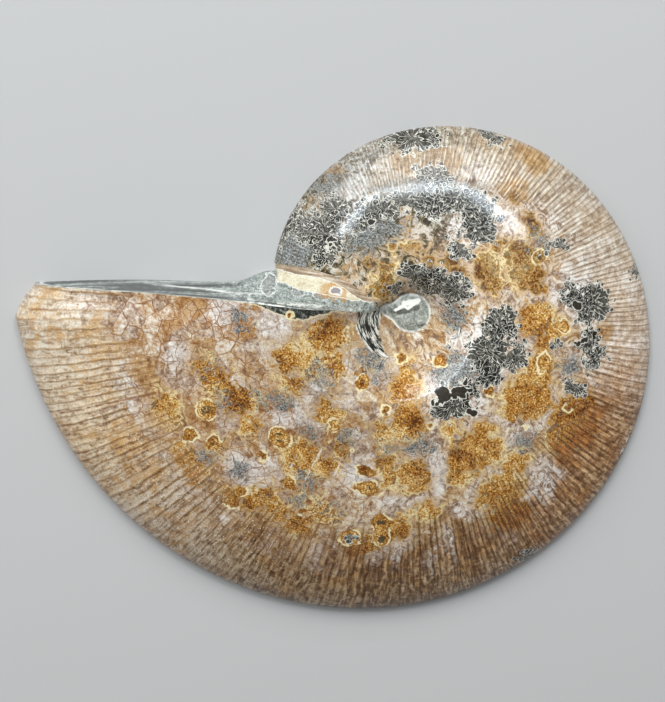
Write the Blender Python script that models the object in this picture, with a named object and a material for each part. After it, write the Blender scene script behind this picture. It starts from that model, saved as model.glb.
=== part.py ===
"""Polished half of an ammonite fossil, sawn flat through the middle of its coil.

One stone in one solid: a tightly coiled whorl that grows along a logarithmic spiral, a funnel-shaped
umbilicus with a plug of matrix at its bottom, and a mouth that is cut off square. The flat sawn back
lies on z = 0, and the origin is under the middle of the outline. +X is away from the mouth, and +Y
runs from the belly of the last whorl to the top of the coil.
"""

from math import atan2, cos, exp, pi, radians, sin

import bmesh
import bpy

MM = 0.001

# The coil. Angles grow from the mouth into the coil, anticlockwise as seen from above.
COIL_CENTRE_X = 18.55 * MM
COIL_CENTRE_Y = 15.08 * MM
MOUTH_RADIUS = 94.1 * MM        # coil centre to the outer edge, at the mouth
SHRINK_PER_RADIAN = 0.169       # each whorl is 2.9 times as wide as the one before
SHOULDER_SHARE = 0.30           # the umbilical shoulder's radius and height, as a share of the whorl's
FLANK_POWER = 1.10              # near 1 the flank slopes like a parabola, at 2 it is an ellipse

# The umbilicus.
PLUG_HEIGHT = 6.4 * MM
PLUG_DOME = 0.5 * MM
PLUG_RADIUS = 4.6 * MM
PLUG_OFFSET = 0.6 * MM          # the plug is a little wider on the mouth's side
PLUG_TIP = 2.8 * MM             # its pointed end, where the mouth's face runs into the funnel
PLUG_TIP_ANGLE = radians(-6.0)
PLUG_TIP_SPREAD = radians(16.0)
FUNNEL_POWER = 2.2              # how far the funnel's wall bulges before it reaches the shoulder

# The cut face of the mouth, seen from above: a gentle arc that dips where it enters the funnel.
CUT_CREST_X = -67.9 * MM
CUT_CREST_Y = 6.9 * MM
CUT_ARC_RADIUS = 381.0 * MM
CUT_DIP = 1.4 * MM
CUT_DIP_FROM = -20.0 * MM
CUT_DIP_TO = -9.0 * MM

# The worn outer corner of the mouth.
WEAR_START = radians(1.2)
WEAR_SPAN = radians(5.1)
WEAR_DEPTH = 6.1 * MM
WEAR_POWER = 1.35

# The seam where the whorl inside comes out from under the mouth: radius, then angle in degrees.
SEAM = ((8.0, 354.0), (8.8, 347.0), (10.6, 339.5), (14.0, 334.6),
        (18.0, 332.9), (28.5, 337.9), (34.6, 341.6))
SEAM_FLARE = 3.0                # how quickly the face turns upright above the seam

# The lump of matrix between that seam and the flat part of the face.
HUMP_START = -41.5 * MM
HUMP_END = -33.8 * MM
HUMP_HEIGHT = 3.4 * MM
FOOT_POWER = 3.0                # how low on the face the lump stays
SEAM_END_BEHIND_CUT = 5.5 * MM

FLANK_COLUMNS = 86
FACE_COLUMNS = 16
PLUG_ROWS = 2
FUNNEL_ROWS = 7
FLANK_ROWS = 14
ALL_ROWS = PLUG_ROWS + FUNNEL_ROWS + FLANK_ROWS
ALL_COLUMNS = FLANK_COLUMNS + FACE_COLUMNS
FACE_SPACING_POWER = 1.5        # the face's columns crowd toward the seam, where it bends most
TIP_ROWS = 2                    # rows over which the plug's tip runs into the cut
SOLVE_STEPS = 12
SAME_POINT = 0.02 * MM
SHARP_EDGE = radians(40.0)

STONE_COLOUR = (0.40, 0.27, 0.15, 1.0)
STONE_ROUGHNESS = 0.18


def smooth_step(low, high, value):
    share = min(max((value - low) / (high - low), 0.0), 1.0)
    return share * share * (3.0 - 2.0 * share)


def spiral_radius(angle):
    return MOUTH_RADIUS * exp(-SHRINK_PER_RADIAN * angle)


def worn_radius(angle):
    wear = max(WEAR_START - angle, 0.0) / WEAR_SPAN
    return spiral_radius(angle) - WEAR_DEPTH * min(wear, 1.0) ** WEAR_POWER


def plug_radius(angle):
    from_tip = (angle - PLUG_TIP_ANGLE + pi) % (2 * pi) - pi
    tip = PLUG_TIP * exp(-(from_tip / PLUG_TIP_SPREAD) ** 2)
    return PLUG_RADIUS + PLUG_OFFSET * cos(angle) + tip


def section(row, angle):
    """Radius and height of the shell's surface on one row, at one angle of the coil."""
    shoulder = SHOULDER_SHARE * spiral_radius(angle)
    rim = plug_radius(angle)
    if row <= PLUG_ROWS:
        share = row / PLUG_ROWS
        return share * rim, PLUG_HEIGHT + PLUG_DOME * (1.0 - share ** 2)
    if row <= PLUG_ROWS + FUNNEL_ROWS:
        share = (row - PLUG_ROWS) / FUNNEL_ROWS
        rise = 1.0 - (1.0 - share) ** FUNNEL_POWER
        return rim + share * (shoulder - rim), PLUG_HEIGHT + rise * (shoulder - PLUG_HEIGHT)
    turn = (row - PLUG_ROWS - FUNNEL_ROWS) / FLANK_ROWS * pi / 2
    out = sin(turn) ** (2.0 / FLANK_POWER)
    return shoulder + out * (worn_radius(angle) - shoulder), shoulder * max(cos(turn), 0.0)


def cut_line(x):
    """The mouth's cut, seen from above: y at a given x."""
    arc = CUT_CREST_Y - (x - CUT_CREST_X) ** 2 / (2 * CUT_ARC_RADIUS)
    return arc - CUT_DIP * smooth_step(CUT_DIP_FROM, CUT_DIP_TO, x)


def mouth_angle(row):
    """The angle at which one row of the flank meets the cut."""
    angle = PLUG_TIP_ANGLE
    if row <= PLUG_ROWS:
        return angle
    for _ in range(SOLVE_STEPS):
        radius = section(row, angle)[0]
        x = -radius * cos(angle)
        angle = -atan2(cut_line(x), -x)
    share = smooth_step(PLUG_ROWS, PLUG_ROWS + TIP_ROWS, row)
    return PLUG_TIP_ANGLE + share * (angle - PLUG_TIP_ANGLE)


def seam_angle_at(radius):
    for (near, near_angle), (far, far_angle) in zip(SEAM, SEAM[1:]):
        if radius <= far * MM or far == SEAM[-1][0]:
            share = (radius - near * MM) / ((far - near) * MM)
            return radians(near_angle + min(max(share, 0.0), 1.0) * (far_angle - near_angle))


def seam_angle(row):
    """The angle at which one row of the inner whorl meets the seam."""
    if row <= PLUG_ROWS:
        return PLUG_TIP_ANGLE + 2 * pi
    angle = radians(SEAM[-1][1])
    for _ in range(SOLVE_STEPS):
        angle = 0.5 * (angle + seam_angle_at(section(row, angle)[0]))
    return angle


def flank_point(row, angle):
    radius, height = section(row, angle)
    return -radius * cos(angle), -radius * sin(angle), height


def hump_rise(x):
    return HUMP_HEIGHT * smooth_step(HUMP_START, HUMP_END, x)


def face_point(row, share, seam, mouth):
    """A point of the mouth's face, between the seam at share 0 and the cut's front edge at share 1."""
    x = seam[0] + share * (mouth[0] - seam[0])
    z = seam[2] + share * (mouth[2] - seam[2])
    flare = (1.0 - share) ** SEAM_FLARE
    low = (max(row - PLUG_ROWS, 0) / (ALL_ROWS - PLUG_ROWS)) ** FOOT_POWER
    behind_cut = seam[1] - cut_line(seam[0]) - low * SEAM_END_BEHIND_CUT
    front_edge = mouth[1] - cut_line(mouth[0])
    return x, cut_line(x) + flare * behind_cut + low * hump_rise(x) + (1.0 - flare) * front_edge, z


def shell_point(column, row):
    start = mouth_angle(row)
    end = seam_angle(row)
    if column <= FLANK_COLUMNS:
        return flank_point(row, start + column / FLANK_COLUMNS * (end - start))
    share = ((column - FLANK_COLUMNS) / FACE_COLUMNS) ** FACE_SPACING_POWER
    if share == 1.0:
        return flank_point(row, start)
    return face_point(row, share, flank_point(row, end), flank_point(row, start))


def make_stone(mesh):
    """Wraps a flat grid round the coil, column by column, then closes its flat back."""
    bm = bmesh.new()
    bmesh.ops.create_grid(bm, x_segments=ALL_COLUMNS, y_segments=ALL_ROWS, size=0.5)
    for vert in bm.verts:
        column = round((vert.co.x + 0.5) * ALL_COLUMNS)
        row = round((vert.co.y + 0.5) * ALL_ROWS)
        x, y, z = shell_point(column, row)
        vert.co = (x + COIL_CENTRE_X, y + COIL_CENTRE_Y, z)
    bmesh.ops.remove_doubles(bm, verts=bm.verts, dist=SAME_POINT)
    bmesh.ops.triangulate(bm, faces=bm.faces)
    rim = [edge for edge in bm.edges if edge.is_boundary]
    bmesh.ops.edgeloop_fill(bm, edges=rim)
    bmesh.ops.recalc_face_normals(bm, faces=bm.faces)
    bm.to_mesh(mesh)
    bm.free()


def stone_material():
    material = bpy.data.materials.new("agatized_shell")
    material.use_nodes = True
    shader = material.node_tree.nodes["Principled BSDF"]
    shader.inputs["Base Color"].default_value = STONE_COLOUR
    shader.inputs["Roughness"].default_value = STONE_ROUGHNESS
    shader.inputs["Metallic"].default_value = 0.0
    return material


def main():
    for old in list(bpy.data.objects):
        bpy.data.objects.remove(old, do_unlink=True)
    mesh = bpy.data.meshes.new("ammonite_half")
    make_stone(mesh)
    mesh.materials.append(stone_material())
    mesh.shade_smooth()
    mesh.set_sharp_from_angle(angle=SHARP_EDGE)
    stone = bpy.data.objects.new("ammonite_half", mesh)
    bpy.context.collection.objects.link(stone)


main()
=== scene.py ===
from math import atan2, cos, exp, hypot, log, pi, radians, sin

import bmesh
import bpy
import numpy as np
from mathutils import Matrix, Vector, noise


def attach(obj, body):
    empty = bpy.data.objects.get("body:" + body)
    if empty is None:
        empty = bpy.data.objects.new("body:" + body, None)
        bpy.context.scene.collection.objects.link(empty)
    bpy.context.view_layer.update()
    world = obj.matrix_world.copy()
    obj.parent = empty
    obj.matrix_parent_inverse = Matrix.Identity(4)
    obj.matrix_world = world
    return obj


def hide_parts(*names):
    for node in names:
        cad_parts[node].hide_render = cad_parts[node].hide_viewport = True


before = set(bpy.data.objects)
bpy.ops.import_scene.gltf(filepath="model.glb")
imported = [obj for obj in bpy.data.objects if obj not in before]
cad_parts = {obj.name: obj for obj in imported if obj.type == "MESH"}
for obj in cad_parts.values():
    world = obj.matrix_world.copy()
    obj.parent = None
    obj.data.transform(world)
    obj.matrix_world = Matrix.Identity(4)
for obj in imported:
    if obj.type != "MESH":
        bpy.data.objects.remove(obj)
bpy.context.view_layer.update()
mm = 0.001


# the coil: the same curves as the solid, on a much finer mesh

coil = {
    "centre": (18.55 * mm, 15.08 * mm),
    "mouthRadius": 94.1 * mm,
    "shrinkPerRadian": 0.169,
    "shoulderShare": 0.30,
    "flankPower": 1.10,
    "plugHeight": 6.4 * mm,
    "plugDome": 0.5 * mm,
    "plugRadius": 4.6 * mm,
    "plugOffset": 0.6 * mm,
    "plugTip": 2.8 * mm,
    "plugTipAngle": radians(-6.0),
    "plugTipSpread": radians(16.0),
    "funnelPower": 2.2,
    "wearStart": radians(1.2),
    "wearSpan": radians(5.1),
    "wearDepth": 6.1 * mm,
    "wearPower": 1.35,
}

mouth = {
    "crest": (-67.9 * mm, 6.9 * mm),
    "arcRadius": 381.0 * mm,
    "dip": 1.4 * mm,
    "dipFrom": -20.0 * mm,
    "dipTo": -9.0 * mm,
    "seam": ((8.0, 354.0), (8.8, 347.0), (10.6, 339.5), (14.0, 334.6), (18.0, 332.9), (28.5, 337.9),
             (34.6, 341.6)),    # radius in mm, angle in degrees
    "seamFlare": 3.0,
    "humpFrom": -41.5 * mm,
    "humpTo": -33.8 * mm,
    "humpHeight": 3.4 * mm,
    "footPower": 3.0,
    "seamEndBehindCut": 5.5 * mm,
}

grid = {
    "plugRows": 8,
    "funnelRows": 20,
    "flankRows": 56,
    "flankColumns": 520,
    "faceColumns": 84,
    "faceGather": 1.5,          # the cut face's columns stand closer at the seam
    "ribCuts": 2,               # extra cuts across each column in the ribbed band
    "ribCutsFrom": 0.47,        # as a share of the flank's rows
    "solveSteps": 12,
    "mergeWithin": 0.008 * mm,
    "sharpAngle": radians(42.0),
}
grid["firstFlankRow"] = grid["plugRows"] + grid["funnelRows"]
grid["rows"] = grid["plugRows"] + grid["funnelRows"] + grid["flankRows"]
grid["columns"] = grid["flankColumns"] + grid["faceColumns"]

ribs = {
    "perTurn": 252,
    "height": 0.08 * mm,
    "startShare": 0.70,
    "fullShare": 0.80,
    "lean": -0.02,              # a rib's slant against the radius, at its mean and its swing round the coil
    "leanSwing": -0.05,
    "leanAbout": 0.85,          # the share of the radius about which a rib leans
    "uneven": 0.045,
    "unevenPerRadian": 3.1,
    "wobble": 0.16,
    "wobblePerMetre": 260.0,
    "worn": (0.8, 0.5),         # a rib's height as worn by the polish: mean and swing
    "wornPerMetre": 90.0,
    "crestPower": 0.7,
    "edgeFade": radians(1.0),
}


def smoothStep(low, high, value):
    share = min(max((value - low) / (high - low), 0.0), 1.0)
    return share * share * (3.0 - 2.0 * share)


def spiralRadius(angle):
    return coil["mouthRadius"] * exp(-coil["shrinkPerRadian"] * angle)


def wornRadius(angle):
    wear = min(max(coil["wearStart"] - angle, 0.0) / coil["wearSpan"], 1.0)
    return spiralRadius(angle) - coil["wearDepth"] * wear ** coil["wearPower"]


def plugRadius(angle):
    fromTip = (angle - coil["plugTipAngle"] + pi) % (2 * pi) - pi
    tip = coil["plugTip"] * exp(-(fromTip / coil["plugTipSpread"]) ** 2)
    return coil["plugRadius"] + coil["plugOffset"] * cos(angle) + tip


def section(row, angle):
    shoulder = coil["shoulderShare"] * spiralRadius(angle)
    rim = plugRadius(angle)
    floor = coil["plugHeight"]
    if row <= grid["plugRows"]:
        share = row / grid["plugRows"]
        return share * rim, floor + coil["plugDome"] * (1.0 - share ** 2)
    row = row - grid["plugRows"]
    if row <= grid["funnelRows"]:
        share = row / grid["funnelRows"]
        rise = 1.0 - (1.0 - share) ** coil["funnelPower"]
        return rim + share * (shoulder - rim), floor + rise * (shoulder - floor)
    turn = (row - grid["funnelRows"]) / grid["flankRows"] * pi / 2
    out = sin(turn) ** (2.0 / coil["flankPower"])
    return shoulder + out * (wornRadius(angle) - shoulder), shoulder * max(cos(turn), 0.0)


def cutLine(x):
    arc = mouth["crest"][1] - (x - mouth["crest"][0]) ** 2 / (2 * mouth["arcRadius"])
    return arc - mouth["dip"] * smoothStep(mouth["dipFrom"], mouth["dipTo"], x)


def mouthAngle(row):
    angle = coil["plugTipAngle"]
    if row <= grid["plugRows"]:
        return angle
    for _ in range(grid["solveSteps"]):
        radius = section(row, angle)[0]
        angle = -atan2(cutLine(-radius * cos(angle)), radius * cos(angle))
    share = smoothStep(0, grid["funnelRows"] * 2 / 7, row - grid["plugRows"])
    return coil["plugTipAngle"] + share * (angle - coil["plugTipAngle"])


def seamAngleAt(radius):
    for (near, nearAngle), (far, farAngle) in zip(mouth["seam"], mouth["seam"][1:]):
        if radius <= far * mm or far == mouth["seam"][-1][0]:
            share = min(max((radius / mm - near) / (far - near), 0.0), 1.0)
            return radians(nearAngle + share * (farAngle - nearAngle))


def seamAngle(row):
    if row <= grid["plugRows"]:
        return coil["plugTipAngle"] + 2 * pi
    angle = radians(mouth["seam"][-1][1])
    for _ in range(grid["solveSteps"]):
        angle = 0.5 * (angle + seamAngleAt(section(row, angle)[0]))
    return angle


def flankPoint(row, angle):
    radius, height = section(row, angle)
    return Vector((-radius * cos(angle), -radius * sin(angle), height))


def facePoint(row, share, atSeam, atEdge):
    x = atSeam.x + share * (atEdge.x - atSeam.x)
    z = atSeam.z + share * (atEdge.z - atSeam.z)
    flare = (1.0 - share) ** mouth["seamFlare"]
    low = (max(row - grid["plugRows"], 0) / (grid["rows"] - grid["plugRows"])) ** mouth["footPower"]
    behindCut = atSeam.y - cutLine(atSeam.x) - low * mouth["seamEndBehindCut"]
    frontEdge = atEdge.y - cutLine(atEdge.x)
    hump = mouth["humpHeight"] * smoothStep(mouth["humpFrom"], mouth["humpTo"], x)
    return Vector((x, cutLine(x) + flare * behindCut + low * hump + (1.0 - flare) * frontEdge, z))


def ribPhase(angle, share, place):
    lean = ribs["lean"] + ribs["leanSwing"] * cos(angle)
    turned = angle + lean * log(max(share, coil["shoulderShare"]) / ribs["leanAbout"])
    turned += ribs["uneven"] * noise.noise(Vector((angle * ribs["unevenPerRadian"], 4.2, 0.7)))
    wobble = ribs["wobble"] * noise.noise(place * ribs["wobblePerMetre"])
    return turned * ribs["perTurn"] / (2 * pi) + wobble


def ribRelief(phase, share, place):
    shown = smoothStep(ribs["startShare"], ribs["fullShare"], share)
    if shown == 0.0:
        return 0.0
    wave = 0.5 + 0.5 * cos(2 * pi * phase)
    mean, swing = ribs["worn"]
    worn = mean + swing * noise.noise(place * ribs["wornPerMetre"])
    return ribs["height"] * shown * worn * (wave ** ribs["crestPower"] - 0.5)


# patches of the shell's mineral, and among the blue and pale ones a few of painted reflection: turn in
# degrees, share of the radius, size in mm, and how far one that isn't round is stretched along the coil
patches = {
    "amber": (
        (15, 0.52, 3.8), (23, 0.50, 4.3), (32, 0.52, 2.6), (11, 0.54, 2.2, 1.3), (19, 0.68, 3.0, 1.4),
        (31, 0.72, 2.6, 1.4), (35, 0.73, 2.6, 1.2), (32, 0.63, 2.2), (14, 0.33, 3.9), (26, 0.35, 2.4),
        (5, 0.22, 4.6), (25, 0.24, 3.0), (45, 0.34, 3.0, 1.1), (50, 0.50, 4.4), (58, 0.49, 3.0),
        (60, 0.43, 2.4), (44, 0.72, 2.5, 1.1), (48, 0.71, 2.8), (50, 0.67, 3.0), (55, 0.69, 2.8),
        (65, 0.64, 2.4, 1.6), (42, 0.20, 1.9), (81, 0.21, 3.7), (82, 0.15, 1.5, 1.2), (87, 0.31, 4.3),
        (74, 0.34, 2.3), (78, 0.44, 2.4), (81, 0.50, 2.3), (90, 0.50, 4.2), (94, 0.63, 2.2, 1.5),
        (112, 0.50, 5.3), (121, 0.46, 3.0), (106, 0.55, 2.6), (120, 0.53, 3.2), (146, 0.52, 5.9),
        (158, 0.53, 3.7), (139, 0.49, 3.0), (179, 0.50, 4.8, 0.9), (169, 0.53, 2.9, 0.9), (175, 0.58, 2.2),
        (147, 0.74, 6.5, 1.2), (140, 0.72, 3.4, 1.2), (125, 0.64, 2.7, 1.4), (116, 0.68, 3.6, 1.7),
        (116, 0.78, 4.6, 1.2), (77, 0.74, 3.6), (85, 0.68, 3.6, 1.2), (315, 0.26, 3.2),
        (235, 0.33, 2.4, 2.0), (215, 0.39, 3.5), (205, 0.37, 2.6), (211, 0.56, 3.4, 1.1), (201, 0.54, 4.1),
        (195, 0.56, 2.3), (221, 0.52, 1.7, 1.3), (219, 0.69, 2.4, 1.2), (232, 0.95, 2.8, 1.6),
        (231, 0.78, 2.6, 1.2), (175, 0.79, 2.2), (274, 0.83, 2.4, 1.2), (261, 0.83, 3.4, 1.6),
        (61, 0.70, 3.4, 1.3), (53, 0.60, 1.8, 1.4), (108, 0.38, 1.6), (19, 0.29, 2.8, 1.2),
        (300, 0.34, 1.3, 1.6), (286, 0.42, 0.9, 1.4), (272, 0.38, 0.9, 1.6), (312, 0.44, 1.0, 1.3),
        (256, 0.31, 1.6, 1.6),
    ),
    "dark": (
        (177, 0.35, 4.2), (157, 0.31, 4.9), (160, 0.42, 2.8, 1.2), (144, 0.34, 3.2), (115, 0.31, 3.8, 1.4),
        (243, 0.20, 4.0), (216, 0.23, 3.6), (270, 0.24, 2.8, 1.3), (184, 0.75, 4.8), (188, 0.67, 2.2, 1.3),
        (172, 0.72, 2.9), (167, 0.75, 2.6, 1.2), (156, 0.69, 2.9, 0.6), (206, 0.73, 1.8), (207, 0.67, 1.1),
        (235, 0.54, 3.6, 1.3), (241, 0.63, 3.2, 1.8), (262, 0.60, 3.0, 1.8), (275, 0.645, 2.4, 1.5),
        (252, 0.635, 2.6, 1.8), (237, 0.40, 2.0, 1.6), (318, 0.75, 4.6), (307, 0.80, 3.2),
        (326, 0.69, 2.6, 1.4), (292, 0.65, 3.0, 1.2), (303, 0.65, 1.8, 1.4), (271, 0.96, 3.4, 2.0),
        (246, 0.98, 1.8, 1.6), (262, 0.75, 2.6, 1.7), (327, 1.00, 2.2, 2.4), (74, 0.71, 1.3),
        (321, 0.87, 3.4, 1.2), (286, 0.63, 2.4, 1.6), (190, 0.99, 1.3), (115, 0.97, 1.6, 1.6),
        (169, 0.58, 1.2), (301, 0.20, 1.4, 1.6), (128, 0.31, 2.6),
    ),
    "ink": (
        (111, 0.26, 1.9, 1.5), (124, 0.29, 1.4, 1.5), (184, 0.69, 0.9), (172, 0.69, 0.9),
        (320, 0.70, 0.9, 1.5), (292, 0.60, 0.8, 1.6), (122, 0.38, 0.9, 1.2),
    ),
    "blue": (
        (30, 0.40, 3.0), (26, 0.45, 2.2, 1.3), (26, 0.28, 3.2, 1.4), (58, 0.38, 2.2), (22, 0.54, 1.8, 1.2),
        (12, 0.52, 1.8, 1.2), (41, 0.64, 2.8), (33, 0.67, 2.2, 1.2), (58, 0.62, 2.6), (66, 0.63, 2.2, 1.2),
        (131, 0.61, 3.0, 1.1), (92, 0.40, 2.4, 1.6), (128, 0.23, 4.6, 1.3), (144, 0.28, 3.4),
        (184, 0.17, 3.0, 1.3), (-3, 0.42, 2.2, 1.2), (43, 0.17, 3.4, 1.4), (300, 0.55, 4.0, 1.6),
        # painted reflection: (330, 0.88) greys the upper left and the long (268, 0.70) lays a bluish band
        # where the lamps' highlight arc falls
        (286, 0.52, 3.0, 1.6), (330, 0.88, 4.5, 2.0), (268, 0.70, 2.6, 5.0), (303, 0.92, 3.0, 1.6),
        (163, 0.65, 2.4, 1.2), (212, 0.66, 2.4, 1.2), (78, 0.40, 1.8, 1.6), (56, 0.55, 2.0, 1.4),
        (46, 0.42, 1.6, 2.0),
    ),
    "pale": (
        (45, 0.18, 3.6, 1.3), (70, 0.50, 4.0, 1.8), (99, 0.50, 6.0, 0.4), (155, 0.20, 3.6, 1.1),
        (-7, 0.45, 4.0, 1.6), (194, 0.73, 4.6, 1.2), (44, 0.64, 5.0, 1.5), (172, 0.26, 3.0, 1.2),
        (100, 0.22, 3.0, 1.4), (128, 0.57, 3.0, 1.2), (188, 0.62, 2.0, 2.2), (108, 0.42, 2.4),
        (35, 0.44, 3.0, 1.4), (8, 0.60, 3.4, 1.2), (30, 0.30, 2.4), (250, 0.82, 4.0, 2.4),
        # painted reflection: the long (268, 0.70) lightens the band where the lamps' highlight arc falls
        (296, 0.82, 4.0, 1.6), (268, 0.70, 2.4, 6.0), (165, 0.66, 2.4), (145, 0.62, 1.6, 2.0),
        (12, 0.76, 3.0, 2.0), (40, 0.78, 3.0, 1.4), (-2, 0.97, 3.0, 0.6), (0, 0.90, 1.6, 0.6),
        (240, 0.48, 2.0, 2.0), (270, 0.46, 1.2, 1.6),
    ),
    "eye": (
        (-6.5, 0.300, 0.9), (-5, 0.327, 0.5), (40, 0.485, 2.0, 1.3), (42, 0.56, 1.7, 1.2), (51, 0.365, 1.2),
        (53, 0.595, 1.6, 1.3), (46, 0.735, 1.5, 1.3), (45, 0.69, 1.4), (71, 0.475, 1.7, 1.6),
        (74, 0.535, 1.7, 1.8), (71, 0.28, 1.4), (47, 0.22, 1.8), (23, 0.585, 2.2), (31, 0.63, 2.2, 0.8),
        (81, 0.65, 2.1, 1.3), (82, 0.71, 2.0, 0.9), (74, 0.71, 1.9, 1.2), (135, 0.57, 1.7, 0.8),
        (134, 0.51, 1.3, 0.8), (71, 0.13, 1.1, 1.2), (120, 0.17, 1.2, 1.4), (149, 0.69, 1.4),
        (206, 0.62, 1.2), (177, 0.62, 1.2), (162, 0.535, 1.5, 1.4), (137, 0.37, 1.5, 1.2), (98, 0.34, 1.0),
        (27, 0.67, 2.0), (60, 0.66, 1.3), (64, 0.42, 1.2),
    ),
}

# the dark strip along the mouth: its depths below and above the cut in mm, and where it lies and ends
crescent = {
    "depth": 2.8,
    "depthLost": 0.2,
    "aboveCut": 0.6,
    "middle": -27.0 * mm,
    "reach": 6.5 * mm,
    "end": -12.0 * mm,
}
# the streaks from the strip into the funnel: share of the radius, half their width in mm, and turn
wedge = {
    "share": 0.114,
    "width": 2.9,
    "start": radians(-12.0),
    "end": radians(58.0),
    "taper": radians(50.0),
}

# thin veins: two ends, each as turn in degrees and share of the radius, and half the vein's width in mm
veins = {
    "paleVein": (((0, 0.165), (13, 0.176), 0.22), ((13, 0.176), (34, 0.224), 0.18),
                 ((53.5, 0.441), (55.6, 0.570), 0.20), ((61.5, 0.442), (63.7, 0.599), 0.16),
                 ((48, 0.491), (50, 0.551), 0.16), ((142, 0.985), (146, 0.985), 0.12),
                 ((146, 0.985), (150.5, 0.985), 0.20)),
    "brownVein": (((16, 0.962), (15.7, 0.842), 0.20), ((15.7, 0.842), (15.5, 0.688), 0.26),
                  ((30.3, 0.644), (29.8, 0.617), 0.20), ((29.8, 0.617), (32.1, 0.611), 0.20),
                  ((32.1, 0.611), (34.9, 0.640), 0.20), ((34.9, 0.640), (37.5, 0.68), 0.2),
                  ((142, 0.955), (150, 0.955), 0.34)),
}
farOutside = -9.0       # mm, what a field reads where none of its patches is near


def coilPlace(angle, share):
    radius = share * spiralRadius(angle)
    return -radius * cos(angle), -radius * sin(angle)


def patchField(kind, x, y):
    # how far inside the nearest patch each point lies, and its place from that patch's middle, in mm
    field, away = np.full(len(x), farOutside), np.zeros((len(x), 3))
    for degrees, share, size, *stretched in patches[kind]:
        stretch = stretched[0] if stretched else 1.0
        angle = radians(degrees)
        px, py = coilPlace(angle, share)
        dx, dy = (x - px) / mm, (y - py) / mm
        along = (dx * sin(angle) - dy * cos(angle)) / stretch
        across = dx * cos(angle) + dy * sin(angle)
        inside = size - np.hypot(along, across)
        nearer = inside > field
        field[nearer] = inside[nearer]
        away[nearer, 0], away[nearer, 1] = dx[nearer], dy[nearer]
    return field, away


def veinField(kind, x, y):
    field = np.full(len(x), farOutside)
    for (startTurn, startShare), (endTurn, endShare), width in veins[kind]:
        startX, startY = coilPlace(radians(startTurn), startShare)
        endX, endY = coilPlace(radians(endTurn), endShare)
        spanX, spanY = endX - startX, endY - startY
        share = ((x - startX) * spanX + (y - startY) * spanY) / (spanX ** 2 + spanY ** 2)
        share = np.clip(share, 0.0, 1.0)
        away = np.hypot(x - startX - share * spanX, y - startY - share * spanY)
        field = np.maximum(field, width - away / mm)
    return field


def stripFields(x, y, gap):
    # the strip along the mouth and the streaks that run from it into the funnel
    depth = crescent["depth"] * np.exp(-((x - crescent["middle"]) / crescent["reach"]) ** 2)
    inStrip = np.minimum(gap + depth - crescent["depthLost"], crescent["aboveCut"] - gap)
    inStrip = np.where(x < crescent["end"], inStrip, farOutside)
    share, turn = np.hypot(x, y) / coil["mouthRadius"], np.arctan2(-y, -x)
    width = wedge["width"] * np.clip((wedge["end"] - turn) / wedge["taper"], 0.0, 1.0)
    inWedge = width - np.abs(share - wedge["share"]) * coil["mouthRadius"] / mm
    return {"crescent": inStrip, "wedge": np.where(turn > wedge["start"], inWedge, farOutside)}


def addPatchFields(mesh):
    points = np.empty(len(mesh.vertices) * 3)
    mesh.vertices.foreach_get("co", points)
    x, y, _ = (points.reshape(-1, 3) - (*coil["centre"], 0.0)).T
    gap = np.empty(len(x))
    mesh.attributes["gap"].data.foreach_get("value", gap)
    fields = {kind: patchField(kind, x, y)[0] for kind in patches}
    fields.update({kind: veinField(kind, x, y) for kind in veins})
    fields.update(stripFields(x, y, gap))
    away = patchField("dark", x, y)[1].astype(np.float32)
    mesh.attributes.new("darkAway", "FLOAT_VECTOR", "POINT").data.foreach_set("vector", away.ravel())
    for name, values in fields.items():
        values = values.astype(np.float32)
        mesh.attributes.new(name, "FLOAT", "POINT").data.foreach_set("value", values)
    print("pattern fields", len(fields) + 1)


def rimRoom():
    # how much longer the way down the rim is than its step outward, per row, as a share of the radius
    room = [0.0] * (grid["rows"] + 1)
    shoulder = coil["shoulderShare"]
    turns = [row / grid["flankRows"] * pi / 2 for row in range(grid["flankRows"] + 1)]
    points = [(sin(turn) ** (2.0 / coil["flankPower"]) * (1.0 - shoulder), shoulder * cos(turn))
              for turn in turns]
    first = grid["firstFlankRow"]
    for row in range(grid["flankRows"] // 2, grid["flankRows"]):
        out = points[row + 1][0] - points[row][0]
        down = points[row + 1][1] - points[row][1]
        room[first + row + 1] = room[first + row] + hypot(out, down) - out
    return room


def makeGrid():
    # one flat sheet of columns and rows, which is then laid along the coil and over the cut face
    bm = bmesh.new()
    columns, rows = grid["columns"], grid["rows"]
    bmesh.ops.create_grid(bm, x_segments=columns, y_segments=rows, size=0.5)
    for vert in bm.verts:
        vert.co = ((vert.co.x + 0.5) * columns, (vert.co.y + 0.5) * rows, 0.0)
    startRow = grid["firstFlankRow"] + grid["ribCutsFrom"] * grid["flankRows"]
    across = [edge for edge in bm.edges
              if abs(edge.verts[0].co.y - edge.verts[1].co.y) < 0.5 and edge.verts[0].co.y > startRow
              and max(vert.co.x for vert in edge.verts) < grid["flankColumns"] + 0.5]
    bmesh.ops.subdivide_edges(bm, edges=across, cuts=grid["ribCuts"])
    print("grid", len(bm.verts))
    return bm


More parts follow.
